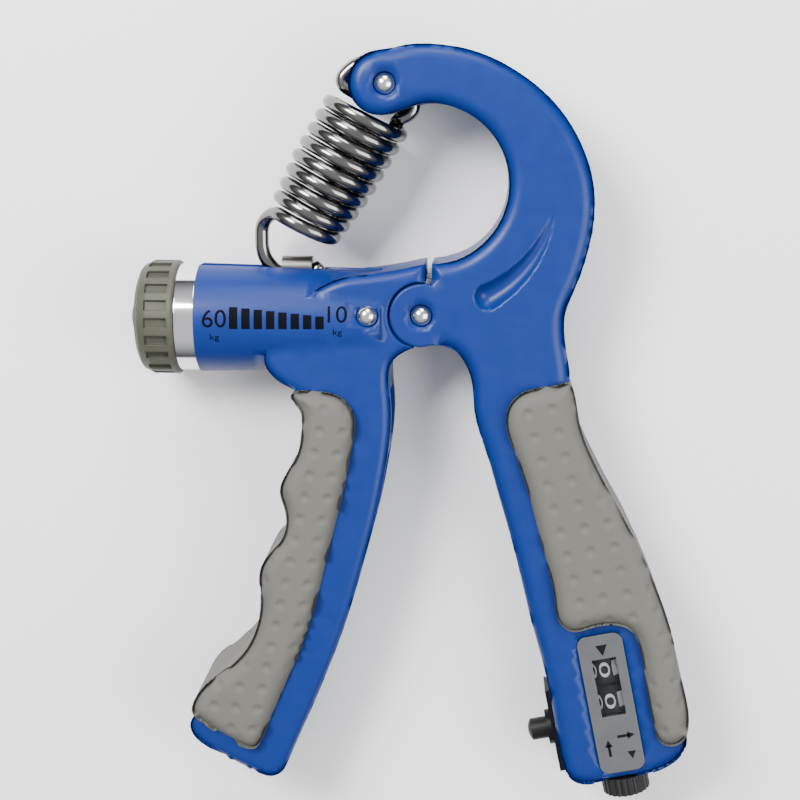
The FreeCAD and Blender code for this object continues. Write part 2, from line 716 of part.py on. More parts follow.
def loop_path():
    """The D-shaped loop round the arm's pin: straight strand, tight corner, round top, curl."""
    centre = LOOP_CENTRE
    radius = dim("loop_radius")
    curl_radius = dim("curl_radius")
    corner_radius = dim("corner_radius")
    curl = circle_point(centre, radius - curl_radius, CURL_ANGLE)
    # the strand runs across the coil's top, and touches the curl and the corner
    strand_angle = math.degrees(math.atan2(-COIL_SIDE.y, -COIL_SIDE.x))
    foot = circle_point(curl, curl_radius, strand_angle - 90)
    up = (COIL_AXIS.x, COIL_AXIS.y)
    rise = (centre[0] - foot[0]) * up[0] + (centre[1] - foot[1]) * up[1]
    lean = math.degrees(math.acos((corner_radius - rise) / (radius - corner_radius)))
    corner_angle = strand_angle + 90 + lean
    corner = circle_point(centre, radius - corner_radius, corner_angle)
    touch = circle_point(corner, corner_radius, strand_angle - 90)
    free_end = (foot[0] + COIL_SIDE.x * 3.5, foot[1] + COIL_SIDE.y * 3.5)
    return [
        line_edge(free_end, touch),
        arc_edge(corner, corner_radius, strand_angle + 270, corner_angle),
        arc_edge(centre, radius, corner_angle, CURL_ANGLE),
        arc_edge(curl, curl_radius, CURL_ANGLE, CURL_ANGLE - 47),
    ]


# ---------------------------------------------------------------- counter


def counter_part(obj, node):
    in_frame(obj, COUNTER)
    return finish(obj, node)


def build_counter_case():
    long_half = dim("case_long") / 2
    wide_half = dim("case_wide") / 2
    wall = dim("case_wall")
    low = dim("case_low")
    high = dim("case_high")
    shell = box("case_shell", ("case_long", "case_wide", "case_high - case_low"),
                (-long_half, -wide_half, low))
    room = box("case_inside", ("case_long - 2 * case_wall", "case_wide - 2 * case_wall",
                               "case_high - case_low - case_wall"),
               (-long_half + wall, -wide_half + wall, low + wall))
    sight = box("case_sight", ("window_long", "window_wide", "4"),
                (-3.6 - dim("window_long") / 2, 0.2 - dim("window_wide") / 2, high - 2))
    stem = cylinder("case_stem_hole", "1.2", "4", (6.6, -7.0, dim("plunger_z")), (0, 1, 0))
    shaft = cylinder("case_shaft_hole", "shaft_radius + running_fit", "60",
                     (-8.0, 0, dim("shaft_z")), (1, 0, 0))
    inside = cut("case_hollow", shell, [room])
    lid = box("case_lid", ("case_long", "case_wide", "0.5"), (-long_half, -wide_half, high - 0.5))
    whole = fuse("case_with_lid", [inside, lid])
    counter_part(cut("case_cut", whole, [sight, stem, shaft]), "counter_case")


def build_counter_bezel():
    plate = box("bezel_plate", ("18.2", "1.2", "9.2"), (-3.0, -13.3, -5.2))
    flange = cylinder("bezel_flange", "3.75", "2.0", (6.6, -14.4, dim("plunger_z")), (0, 1, 0))
    hole = cylinder("bezel_hole", "plunger_radius + running_fit", "6",
                    (6.6, -16.0, dim("plunger_z")), (0, 1, 0))
    counter_part(cut("bezel_cut", fuse("bezel_blank", [plate, flange]), [hole]), "counter_bezel")


def build_label():
    plate = rounded_plate("label_plate", dim("label_long"), dim("label_wide"), 2.0,
                          dim("case_high"), dim("label_thick") + 0.65)
    sight = box("label_sight", ("window_long", "window_wide", "6"),
                (-3.6 - dim("window_long") / 2, 0.2 - dim("window_wide") / 2,
                 dim("case_high") - 1), COUNTER)
    finish(cut("label_cut", plate, [sight]), "counter_label")
    glass = box("window_pane", ("window_long", "window_wide", "0.6"),
                (-3.6 - dim("window_long") / 2, 0.2 - dim("window_wide") / 2,
                 dim("case_high") + 0.2))
    counter_part(glass, "counter_window")


def build_wheels():
    shaft_z = dim("shaft_z")
    for node, x in (("tens_wheel", -10.0), ("units_wheel", -3.4)):
        disc = cylinder(node + "_disc", "wheel_radius", "wheel_wide", (x, 0, shaft_z), (1, 0, 0))
        hole = cylinder(node + "_hole", "shaft_radius + running_fit", "9",
                        (x - 1, 0, shaft_z), (1, 0, 0))
        counter_part(cut(node + "_ring", disc, [hole]), node)
    # ten-tooth ratchet on the end of the units wheel
    hub = cylinder("ratchet_hub", "2", "2.1", (2.8, 0, shaft_z), (1, 0, 0))
    disc = cylinder("ratchet_disc", "3", "2", (4.9, 0, shaft_z), (1, 0, 0))
    notches = []
    for i in range(10):
        notch = box("ratchet_notch_%d" % i, ("4", "1.1", "1.1"), (-2, 0, 0))
        a = math.radians(36.0 * i)
        turn = Rotation(Vector(1, 0, 0), 36.0 * i + 20.0)
        notch.Placement = Placement(
            Vector(5.9, 2.75 * math.cos(a), shaft_z + 2.75 * math.sin(a)), turn
        ).multiply(Placement(Vector(-2, 0, 0), Rotation()))
        notches.append(notch)
    hole = cylinder("ratchet_hole", "shaft_radius + running_fit", "9", (1, 0, shaft_z), (1, 0, 0))
    toothed = cut("ratchet_toothed", disc, notches)
    whole = fuse("ratchet_blank", [hub, toothed])
    counter_part(cut("ratchet_cut", whole, [hole]), "ratchet_wheel")


def build_reset():
    shaft_z = dim("shaft_z")
    start = dim("case_long") / 2
    shaft = cylinder("shaft_rod", "shaft_radius", "33.5", (-14.0, 0, shaft_z), (1, 0, 0))
    counter_part(shaft, "wheel_shaft")
    disc = cylinder("reset_disc", "reset_radius", "reset_wide", (17.6, 0, shaft_z), (1, 0, 0))
    notches = []
    for i in range(24):
        a = math.radians(15.0 * i)
        r = dim("reset_radius") + 0.25
        notches.append(cylinder("reset_notch_%d" % i, "0.5", "6",
                                (16.6, r * math.cos(a), shaft_z + r * math.sin(a)), (1, 0, 0)))
    bore = cylinder("reset_bore", "shaft_radius", "1.9", (17.6, 0, shaft_z), (1, 0, 0))
    counter_part(cut("reset_cut", disc, notches + [bore]), "reset_knob")


def build_plunger():
    z = dim("plunger_z")
    head = cylinder("plunger_head", "plunger_radius", "7.6", (6.6, -17.8, z), (0, 1, 0))
    dome = doc.addObject("Part::Sphere", "plunger_dome")
    dome.Radius = 3.9
    dome.Placement = Placement(Vector(6.6, -14.7, z), Rotation())
    front = cylinder("plunger_front", "plunger_radius", "3", (6.6, -18.7, z), (0, 1, 0))
    stem = cylinder("plunger_stem", "1.1", "5.8", (6.6, -10.4, z), (0, 1, 0))
    tip = common("plunger_tip", [dome, front])
    counter_part(fuse("plunger_whole", [head, tip, stem]), "plunger")
    pawl = box("pawl_arm", ("1.6", "4.4", "0.5"), (5.1, -4.6, z + 0.2))
    counter_part(pawl, "pawl")
    outer = cylinder("return_outer", "1.9", "4.3", (6.6, -10.1, z), (0, 1, 0))
    inner = cylinder("return_inner", "1.3", "6", (6.6, -11.0, z), (0, 1, 0))
    counter_part(cut("return_cut", outer, [inner]), "plunger_spring")


# ---------------------------------------------------------------- the whole object

build_finger_body()
build_finger_grip()
build_palm_body()
build_palm_grip()
build_pins()
build_washers()
build_collar()
knob_with_pockets()
build_knob_cap()
build_screw()
build_nut()
build_spring()
build_counter_case()
build_counter_bezel()
build_label()
build_wheels()
build_reset()
build_plunger()
doc.recompute()

for obj in doc.Objects:
    if "Invalid" in obj.State or "Error" in obj.State:
        raise RuntimeError("%s failed: %s" % (obj.Name, obj.State))
for obj in SUBPARTS:
    if obj.Shape.isNull() or not obj.Shape.isValid():
        raise RuntimeError("%s has no valid shape" % obj.Label)

os.makedirs("parts", exist_ok=True)
for obj in SUBPARTS:
    obj.Shape.exportStep(os.path.join("parts", obj.Label + ".step"))
    size = obj.Shape.BoundBox
    print("%-20s solids %d volume %.1f  x %.2f..%.2f y %.2f..%.2f z %.2f..%.2f" % (
        obj.Label, len(obj.Shape.Solids), obj.Shape.Volume,
        size.XMin, size.XMax, size.YMin, size.YMax, size.ZMin, size.ZMax))
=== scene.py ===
"""Looks of the hand grip strengthener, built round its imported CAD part.

Lengths are in millimetres in the row frame unless a name says otherwise; MM turns them into metres."""
import json
import math

import bmesh
import bpy
import numpy as np
from mathutils import Matrix, Vector
from mathutils.bvhtree import BVHTree
from mathutils.geometry import delaunay_2d_cdt


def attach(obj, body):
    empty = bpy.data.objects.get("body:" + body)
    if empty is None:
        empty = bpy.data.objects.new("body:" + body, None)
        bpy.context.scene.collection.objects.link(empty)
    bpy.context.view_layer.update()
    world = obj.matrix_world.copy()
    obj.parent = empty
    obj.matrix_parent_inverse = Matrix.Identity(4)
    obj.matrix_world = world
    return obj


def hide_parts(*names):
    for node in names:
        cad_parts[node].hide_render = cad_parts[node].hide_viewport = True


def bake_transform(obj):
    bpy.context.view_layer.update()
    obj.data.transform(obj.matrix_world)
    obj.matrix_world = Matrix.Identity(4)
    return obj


MM = 0.001
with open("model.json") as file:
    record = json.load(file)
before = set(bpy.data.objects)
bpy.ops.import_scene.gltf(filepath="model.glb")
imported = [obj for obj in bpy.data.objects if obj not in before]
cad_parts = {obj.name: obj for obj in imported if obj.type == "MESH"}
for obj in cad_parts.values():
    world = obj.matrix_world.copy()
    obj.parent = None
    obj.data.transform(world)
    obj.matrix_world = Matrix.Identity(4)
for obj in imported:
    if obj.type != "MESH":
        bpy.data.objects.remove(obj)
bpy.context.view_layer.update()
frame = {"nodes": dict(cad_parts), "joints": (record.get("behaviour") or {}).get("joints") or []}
NODES = frame["nodes"]
MID = 12.0
HINGE = Vector(next(j["pos_m"] for j in frame["joints"] if j["name"] == "squeeze")) / MM
SCENE = bpy.context.scene


def at(x, y, z=0.0):
    """A point given from the hinge's centre."""
    return Vector((HINGE.x + x, HINGE.y + y, HINGE.z + z))


# ---------------------------------------------------------------- materials
def material(name, color, rough, metallic=0.0, vary=0.12, scale=300.0, bump=0.05, grain=1400.0,
             depth=0.05, edge=0.25, wear=None, stretch=(1.0, 1.0, 1.0), shine=0.5):
    """A procedural surface: colour and roughness drift, fine relief, softened and slightly worn edges."""
    mat = bpy.data.materials.new(name)
    mat.use_nodes = True
    tree = mat.node_tree
    nodes, links = tree.nodes, tree.links
    nodes.clear()
    out = nodes.new("ShaderNodeOutputMaterial")
    shader = nodes.new("ShaderNodeBsdfPrincipled")
    links.new(shader.outputs["BSDF"], out.inputs["Surface"])
    shader.inputs["Metallic"].default_value = metallic
    shader.inputs["Base Color"].default_value = (*color, 1.0)
    shader.inputs["Roughness"].default_value = rough
    shader.inputs["Specular IOR Level"].default_value = shine
    place = nodes.new("ShaderNodeTexCoord")
    mapping = nodes.new("ShaderNodeMapping")
    mapping.inputs["Scale"].default_value = stretch
    links.new(place.outputs["Object"], mapping.inputs["Vector"])
    broad = nodes.new("ShaderNodeTexNoise")
    broad.inputs["Scale"].default_value = scale
    broad.inputs["Detail"].default_value = 5.0
    links.new(mapping.outputs["Vector"], broad.inputs["Vector"])
    tint = nodes.new("ShaderNodeMix")
    tint.data_type = "RGBA"
    dark = tuple(c * (1 - vary) for c in color)
    light = tuple(min(1.0, c * (1 + vary)) for c in color)
    tint.inputs["A"].default_value = (*dark, 1.0)
    tint.inputs["B"].default_value = (*light, 1.0)
    links.new(broad.outputs["Fac"], tint.inputs["Factor"])
    result = tint.outputs["Result"]
    if wear:
        shape = nodes.new("ShaderNodeNewGeometry")
        ramp = nodes.new("ShaderNodeMapRange")
        ramp.inputs["From Min"].default_value = 0.53
        ramp.inputs["From Max"].default_value = 0.62
        ramp.inputs["To Max"].default_value = 0.6
        links.new(shape.outputs["Pointiness"], ramp.inputs["Value"])
        worn = nodes.new("ShaderNodeMix")
        worn.data_type = "RGBA"
        worn.inputs["B"].default_value = (*wear, 1.0)
        links.new(ramp.outputs["Result"], worn.inputs["Factor"])
        links.new(result, worn.inputs["A"])
        result = worn.outputs["Result"]
    links.new(result, shader.inputs["Base Color"])
    gloss = nodes.new("ShaderNodeMapRange")
    gloss.inputs["To Min"].default_value = rough * 0.78
    gloss.inputs["To Max"].default_value = min(1.0, rough * 1.25)
    links.new(broad.outputs["Fac"], gloss.inputs["Value"])
    links.new(gloss.outputs["Result"], shader.inputs["Roughness"])
    fine = nodes.new("ShaderNodeTexNoise")
    fine.inputs["Scale"].default_value = grain
    fine.inputs["Detail"].default_value = 3.0
    links.new(mapping.outputs["Vector"], fine.inputs["Vector"])
    relief = nodes.new("ShaderNodeBump")
    relief.inputs["Strength"].default_value = bump
    relief.inputs["Distance"].default_value = depth * MM
    links.new(fine.outputs["Fac"], relief.inputs["Height"])
    if edge:
        soften = nodes.new("ShaderNodeBevel")
        soften.samples = 6
        soften.inputs["Radius"].default_value = edge * MM
        links.new(soften.outputs["Normal"], relief.inputs["Normal"])
    links.new(relief.outputs["Normal"], shader.inputs["Normal"])
    return mat


BLUE = material("blue_plastic", (0.002, 0.020, 0.150), 0.38, bump=0.25, grain=900, depth=0.06, shine=0.28,
                edge=0.0, vary=0.08)
RUBBER = material("grip_rubber", (0.105, 0.103, 0.092), 0.72, shine=0.3, bump=0.5, grain=1600, depth=0.08,
                  edge=0.0,
                  vary=0.07, scale=120)
KNOB = material("knob_plastic", (0.050, 0.052, 0.036), 0.5, shine=0.3, bump=0.3, grain=1200, depth=0.06,
                edge=0.35,
                wear=(0.10, 0.10, 0.08))
CHROME = material("collar_chrome", (0.86, 0.86, 0.87), 0.1, metallic=1.0, bump=0.03, grain=500, edge=0.3,
                  vary=0.04)
RIVET = material("rivet_chrome", (0.8, 0.8, 0.8), 0.16, metallic=1.0, bump=0.08, grain=700, edge=0.2,
                 vary=0.06)
SPRING = material("spring_steel", (0.20, 0.197, 0.193), 0.15, metallic=1.0, bump=0.12, grain=900, edge=0.0,
                  vary=0.18, stretch=(1.0, 1.0, 3.0))
NUT = material("nut_steel", (0.10, 0.097, 0.094), 0.34, metallic=1.0, bump=0.3, grain=900, edge=0.25,
               wear=(0.25, 0.24, 0.23))
SCREW = material("screw_steel", (0.42, 0.42, 0.42), 0.3, metallic=1.0, bump=0.2, grain=1200, edge=0.15,
                 stretch=(6.0, 1.0, 1.0))
WASHER = material("washer_steel", (0.5, 0.5, 0.5), 0.28, metallic=1.0, bump=0.15, grain=1500, edge=0.1)
BLACK = material("black_plastic", (0.004, 0.004, 0.0045), 0.4, shine=0.2, bump=0.3, grain=1300, depth=0.05,
                 edge=0.25,
                 vary=0.2, wear=(0.02, 0.02, 0.021))
LABEL = material("label_grey", (0.12, 0.124, 0.132), 0.34, metallic=0.55, bump=0.15, grain=1800, edge=0.15,
                 vary=0.06)
WHEEL = material("wheel_plastic", (0.014, 0.014, 0.016), 0.45, shine=0.25, bump=0.2, grain=1500, edge=0.15)
PRINT_DARK = material("print_dark", (0.0012, 0.0015, 0.004), 0.6, shine=0.06, bump=0.2, grain=1800,
                      edge=0.0, vary=0.2)
PRINT_LABEL = material("print_label", (0.006, 0.006, 0.008), 0.5, shine=0.1, bump=0.2, grain=1800,
                       edge=0.0, vary=0.2)
DIGIT = material("digit_light", (0.72, 0.72, 0.66), 0.5, bump=0.15, grain=1800, edge=0.0, vary=0.06)
WINDOW = material("window_clear", (0.75, 0.78, 0.80), 0.07, bump=0.03, grain=600, edge=0.1, vary=0.03)
window_shader = next(n for n in WINDOW.node_tree.nodes if n.type == "BSDF_PRINCIPLED")
for socket, value in (("Transmission Weight", 1.0), ("IOR", 1.3)):
    window_shader.inputs[socket].default_value = value

KEPT = {
    "barrel_collar": CHROME, "adjuster_knob": KNOB, "knob_cap": KNOB, "adjuster_screw": SCREW,
    "travelling_nut": NUT, "stop_pin": RIVET, "hinge_pin": RIVET, "spring_pin": RIVET,
    "hinge_washer_front": WASHER, "hinge_washer_back": WASHER, "counter_case": BLACK, "counter_bezel": BLACK,
    "counter_label": LABEL, "counter_window": WINDOW, "tens_wheel": WHEEL, "units_wheel": WHEEL,
    "ratchet_wheel": BLACK, "wheel_shaft": SCREW, "reset_knob": BLACK, "plunger": BLACK, "pawl": BLACK,
    "plunger_spring": SPRING,
}
for node, mat in KEPT.items():
    data = NODES[node].data
    data.materials.clear()
    data.materials.append(mat)


def finish_piece(obj, mat, body=None, smooth=35.0):
    """Shades the piece and gives it its surface and the body that it moves with."""
    obj.data.materials.clear()
    obj.data.materials.append(mat)
    mark_smooth(obj.data, smooth)
    if body:
        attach(obj, body)
    return obj


def mark_smooth(data, angle):
    data.shade_smooth()
    data.set_sharp_from_angle(angle=math.radians(angle))


def new_object(name, bm):
    data = bpy.data.meshes.new(name)
    bm.to_mesh(data)
    bm.free()
    obj = bpy.data.objects.new(name, data)
    SCENE.collection.objects.link(obj)
    return obj


# ---------------------------------------------------------------- rounded handles and grips
def segments_distance(points, starts, ends):
    """The distance of each point to the nearest of the segments."""
    result = np.full(len(points), 1e9)
    if len(starts) == 0:
        return result
    along = ends - starts
    square = np.maximum((along ** 2).sum(1), 1e-12)
    for low in range(0, len(points), 400):
        block = points[low:low + 400]
        offset = block[:, None, :] - starts[None]
        share = np.clip((offset * along[None]).sum(2) / square[None], 0, 1)
        gap = offset - share[..., None] * along[None]
        result[low:low + 400] = np.sqrt((gap ** 2).sum(2).min(1))
    return result


def inside(points, starts, ends):
    """Whether each point is inside the loops, by counting crossings."""
    result = np.zeros(len(points), bool)
    rise = ends[:, 1] - starts[:, 1]
    safe = np.where(np.abs(rise) < 1e-12, 1e-12, rise)
    for low in range(0, len(points), 400):
        block = points[low:low + 400]
        y = block[:, 1][:, None]
        spans = (starts[None, :, 1] > y) != (ends[None, :, 1] > y)
        cross = starts[None, :, 0] + (y - starts[None, :, 1]) / safe[None] * (ends[:, 0] - starts[:, 0])[None]
        result[low:low + 400] = (spans & (block[:, 0][:, None] < cross)).sum(1) % 2 == 1
    return result


def chains(edges):
    """Ordered loops of vertices made from boundary edges."""
    links = {}
    for e in edges:
        for v, w in ((e.verts[0], e.verts[1]), (e.verts[1], e.verts[0])):
            links.setdefault(v, []).append(w)
    loops, used = [], set()
    for first in links:
        if first in used:
            continue
        loop, here = [first], first
        used.add(first)
        while True:
            ahead = [w for w in links[here] if w not in used]
            if not ahead:
                break
            here = ahead[0]
            used.add(here)
            loop.append(here)
        if len(loop) > 2:
            loops.append(loop)
    return loops


RIM_CUT = 0.06
RIM_STEP = 0.8
RIM_ANGLES = (29, 38, 47, 56, 65, 74, 83, 92)
SMALL_OUTLINE = 400.0
BLUE_HALF, GRIP_HALF = 9.5, 12.0
HINGE_ROUND, HINGE_RIM = 7.6, 0.6
TOUCHING, GRIP_SEAM_GAP = 0.7, 0.9
FINGER_RIM, PALM_RIM, GRIP_RIM, GRIP_SEAM_RIM = 2.2, 3.0, 3.6, 0.9
BARREL_Y, BARREL_FLAT_END, BARREL_FLAT_HALF = -1.6, -7.6, 6.6


def quarter_drop(distance, radius):
    """How far a rounded edge of this radius lies below its flat at a distance from the outline.

    The last few degrees of the quarter round are left to the wall, so the rim never runs straight down."""
    near = np.clip(radius * (1 - RIM_CUT) - distance, 0, radius)
    return radius - np.sqrt(np.maximum(radius ** 2 - near ** 2, 0))


def tree_of(node):
    bm = bmesh.new()
    bm.from_mesh(NODES[node].data)
    tree = BVHTree.FromBMesh(bm)
    bm.free()
    return tree


def rounded_copy(name, node, half, radius_of, spacing, pattern=None, redo=None):
    """A copy of a CAD node whose two flat faces get rounded rims and, if asked, a relief.

    radius_of takes an outline point and returns the rim radius there, or 0 where it stays sharp."""
    bm = bmesh.new()
    bm.from_mesh(NODES[node].data)
    bmesh.ops.remove_doubles(bm, verts=bm.verts, dist=2e-6)
    for side in (1, -1):
        level = (MID + side * half) * MM
        if redo:
            # the groove's old faces go, because redo builds finer ones
            flat = flat_region(bm, level, side)
            old = [f for f in bm.faces if f not in flat
                   and all(redo.covers(v.co.x / MM, v.co.y / MM) and 4e-6 > (v.co.z - level) * side > -4 * MM
                           for v in f.verts)]
            bmesh.ops.delete(bm, geom=old, context="FACES_ONLY")
        # the outline is cut fine enough to carry a smooth rim
        region = flat_region(bm, level, side)
        groups = {}
        for e in bm.edges:
            cuts = int(e.calc_length() / (RIM_STEP * MM))
            if cuts and sum(f in region for f in e.link_faces) == 1:
                groups.setdefault(cuts, []).append(e)
        # every edge is cut in one go, and the faces beside it stay whole
        for cuts, found in groups.items():
            bmesh.ops.subdivide_edges(bm, edges=found, cuts=cuts, use_single_edge=False)
        region = flat_region(bm, level, side)
        border = [e for e in bm.edges if sum(f in region for f in e.link_faces) == 1]
        if not border:
            continue
        refill(bm, region, border, level, side, radius_of, spacing, pattern, redo)
    obj = new_object(name, bm)
    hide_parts(node)
    return obj


def flat_region(bm, level, side):
    bm.normal_update()
    return {f for f in bm.faces if f.normal.z * side > 0.999
            and all(abs(v.co.z - level) < 4e-6 for v in f.verts)}


def refill(bm, region, border, level, side, radius_of, spacing, pattern, redo):
    loops = chains(border)
    if redo:
        loops = [loop for loop in loops if not all(redo.covers(v.co.x / MM, v.co.y / MM) for v in loop)]
    verts = [v for loop in loops for v in loop]
    flat = np.array([(v.co.x / MM, v.co.y / MM) for v in verts])
    edges, start = [], 0
    for loop in loops:
        n = len(loop)
        edges.extend((start + i, start + (i + 1) % n) for i in range(n))
        start += n
    first = np.array([a for a, b in edges])
    second = np.array([b for a, b in edges])
    starts, ends = flat[first], flat[second]
    radii = np.array([radius_of((starts[i] + ends[i]) / 2, level) for i in range(len(edges))])
    start = 0
    for loop in loops:
        pts = flat[start:start + len(loop)]
        ahead = np.roll(pts, -1, axis=0)
        area = abs(np.sum(pts[:, 0] * ahead[:, 1] - ahead[:, 0] * pts[:, 1])) / 2
        # only outlines of some size are rims; the small ones are recesses
        if area < SMALL_OUTLINE:
            radii[start:start + len(loop)] = 0.0
        start += len(loop)
    sizes = sorted(set(r for r in radii if r > 0))
    # rings of points that follow the rim, denser where it turns down
    extra = []
    middle = (starts + ends) / 2
    before = {b: i for i, (a, b) in enumerate(edges)}
    last = np.array([before[a] for a, b in edges])
    step = ends - starts
    length = np.maximum(np.linalg.norm(step, axis=1), 1e-9)
    normal = np.stack([-step[:, 1], step[:, 0]], 1) / length[:, None]
    test = inside(middle + normal * 0.02, starts, ends)
    normal = np.where(test[:, None], normal, -normal)
    corner = normal + normal[last]
    corner = corner / np.maximum(np.linalg.norm(corner, axis=1), 1e-6)[:, None]
    for radius in sizes:
        chosen = radii == radius
        for theta in RIM_ANGLES:
            offset = radius * (1 - RIM_CUT - math.cos(math.radians(theta)))
            ring = starts[chosen] + corner[chosen] * offset
            away = segments_distance(ring, starts, ends)
            extra.append(ring[(away > offset * 0.97)])
    low, high = flat.min(0), flat.max(0)
    xs = np.arange(low[0], high[0], spacing)
    ys = np.arange(low[1], high[1], spacing * 0.866)
    grid = np.array([(x + (spacing / 2 if row % 2 else 0), y) for row, y in enumerate(ys) for x in xs])
    away = segments_distance(grid, starts, ends)
    grid = grid[away > spacing * 0.55]
    if len(extra):
        rings = np.concatenate(extra)
        # the grid keeps clear of the rim's own rings
        for radius in sizes:
            rim = radii == radius
            clear = radius * (1.0 if spacing > 0.8 else 0.6) + spacing * 0.3
            grid = grid[segments_distance(grid, starts[rim], ends[rim]) > clear]
    else:
        rings = np.zeros((0, 2))
    points = np.concatenate([rings, grid])
    if redo:
        fine = redo.points()
        points = np.concatenate([points[redo.depth(points) <= 0], fine])
    points = points[inside(points, starts, ends)]
    coords = [Vector(p) for p in np.concatenate([flat, points])]
    got, _, faces, origin, _, _ = delaunay_2d_cdt(coords, edges, [], 0, 1e-4)
    got_flat = np.array([(p.x, p.y) for p in got])
    drop = np.zeros(len(got_flat))
    for radius in sizes:
        rim = radii == radius
        drop = np.maximum(drop, quarter_drop(segments_distance(got_flat, starts[rim], ends[rim]), radius))
    if pattern:
        clear = segments_distance(got_flat, starts, ends)
        drop = drop + pattern(got_flat) * np.clip((clear - 0.5) / 0.8, 0, 1)
    if redo:
        drop = drop + redo.depth(got_flat)
    height = level - side * drop * MM
    centres = np.array([got_flat[list(f)].mean(0) for f in faces])
    keep = inside(centres, starts, ends)
    made, rim_verts = [], set(verts)
    for i, p in enumerate(got_flat):
        source = [k for k in origin[i] if k < len(verts)]
        if source:
            v = verts[source[0]]
            v.co.z = height[i]
        else:
            v = bm.verts.new((p[0] * MM, p[1] * MM, height[i]))
        made.append(v)
    bmesh.ops.delete(bm, geom=list(region), context="FACES_ONLY")
    for f, wanted in zip(faces, keep):
        if not wanted:
            continue
        corners = [made[k] for k in f]
        a, b, c = (got_flat[k] for k in f)
        thin = abs((b[0] - a[0]) * (c[1] - a[1]) - (b[1] - a[1]) * (c[0] - a[0])) < 2e-4
        if len(set(corners)) < 3 or thin and all(v in rim_verts for v in corners):
            continue
        if side < 0:
            corners.reverse()
        if not bm.faces.get(corners):
            bm.faces.new(corners)
    bmesh.ops.delete(bm, geom=[e for e in bm.edges if not e.link_faces], context="EDGES")
    bmesh.ops.delete(bm, geom=[v for v in bm.verts if not v.link_faces], context="VERTS")


FINGER_BLUE, PALM_BLUE = tree_of("finger_body"), tree_of("palm_body")
FINGER_GRIP, PALM_GRIP = tree_of("finger_grip"), tree_of("palm_grip")


def gap_to(tree, x, y, z):
    return tree.find_nearest(Vector((x * MM, y * MM, z)))[3] / MM


def finger_blue_radius(p, level):
    x, y = p[0] - HINGE.x, p[1] - HINGE.y
    if math.hypot(x, y) < HINGE_ROUND:
        return HINGE_RIM
    # the barrel's own curve is not an edge of the flat
    if x < BARREL_FLAT_END and abs(y - BARREL_Y) < BARREL_FLAT_HALF:
        return 0.0
    if gap_to(FINGER_GRIP, p[0], p[1], level) < TOUCHING:
        return 0.0
    return FINGER_RIM


def palm_blue_radius(p, level):
    if gap_to(PALM_GRIP, p[0], p[1], level) < TOUCHING:
        return 0.0
    if math.hypot(p[0] - HINGE.x, p[1] - HINGE.y) < HINGE_ROUND:
        return HINGE_RIM
    return PALM_RIM


def finger_grip_radius(p, level):
    seam = gap_to(FINGER_BLUE, p[0], p[1], MID * MM) < GRIP_SEAM_GAP
    return GRIP_SEAM_RIM if seam else GRIP_RIM


def palm_grip_radius(p, level):
    seam = gap_to(PALM_BLUE, p[0], p[1], MID * MM) < GRIP_SEAM_GAP
    return GRIP_SEAM_RIM if seam else GRIP_RIM


def dimples(first, second, depth=0.42, radius=1.05):
    """A lattice of small soft dents in a grip's flat face."""
    basis = np.array([first, second], float).T
    back = np.linalg.inv(basis)

    def relief(points):
        share = points @ back.T
        near = np.full(len(points), 1e9)
        base = np.floor(share)
        for i in (0, 1):
            for j in (0, 1):
                centre = (base + (i, j)) @ basis.T
                near = np.minimum(near, np.linalg.norm(points - centre, axis=1))
        bowl = np.clip(1 - (near / radius) ** 2, 0, 1)
        return depth * bowl ** 0.7

    return relief


class Groove:
    """The scoop at the root of the arm: wide, deep and round at its low end, running out to a point."""
    centre = np.array((1.5, 26.3)) + np.array((HINGE.x, HINGE.y))
    path, low, high, width, deep = 25.4, -62.0, -12.0, 2.6, 2.3

    def covers(self, x, y):
        dx, dy = x - self.centre[0], y - self.centre[1]
        return abs(math.hypot(dx, dy) - self.path) < 3.4 and -76 < math.degrees(math.atan2(dy, dx)) < -1

    def depth(self, points):
        offset = points - self.centre
        radius = np.linalg.norm(offset, axis=1)
        angle = np.degrees(np.arctan2(offset[:, 1], offset[:, 0]))
        share = np.clip((angle - self.low) / (self.high - self.low), 0, 1)
        held = np.radians(np.clip(angle, self.low, self.high))
        foot = self.centre + self.path * np.stack([np.cos(held), np.sin(held)], 1)
        away = np.linalg.norm(points - foot, axis=1)
        width = self.width * (1 - share) ** 0.75 + 0.12
        bowl = np.clip(1 - (away / width) ** 2, 0, 1) ** 0.8
        return np.where(radius > 1, self.deep * (1 - share) ** 0.9 * bowl, 0)

    def points(self):
        found = []
        for i in range(64):
            angle = math.radians(self.low - 7 + (self.high - self.low + 8) * i / 63)
            for k in range(-9, 10):
                r = self.path + k * 0.36
                found.append((r * math.cos(angle), r * math.sin(angle)))
        return np.array(found) + self.centre


finger_body = rounded_copy("finger_handle_shell", "finger_body", BLUE_HALF, finger_blue_radius, 1.5)
finish_piece(finger_body, BLUE, "finger_handle")
palm_body = rounded_copy("palm_handle_shell", "palm_body", BLUE_HALF, palm_blue_radius, 1.5, redo=Groove())
finish_piece(palm_body, BLUE, "palm_handle")
finger_grip = rounded_copy("finger_soft_grip", "finger_grip", GRIP_HALF, finger_grip_radius, 0.5,
                           dimples((-1.05, -4.6), (4.6, -0.3)))
finish_piece(finger_grip, RUBBER, "finger_handle", smooth=50.0)
palm_grip = rounded_copy("palm_soft_grip", "palm_grip", GRIP_HALF, palm_grip_radius, 0.5,
                         dimples((1.39, -4.94), (4.8, 1.05)))
finish_piece(palm_grip, RUBBER, "palm_handle", smooth=50.0)


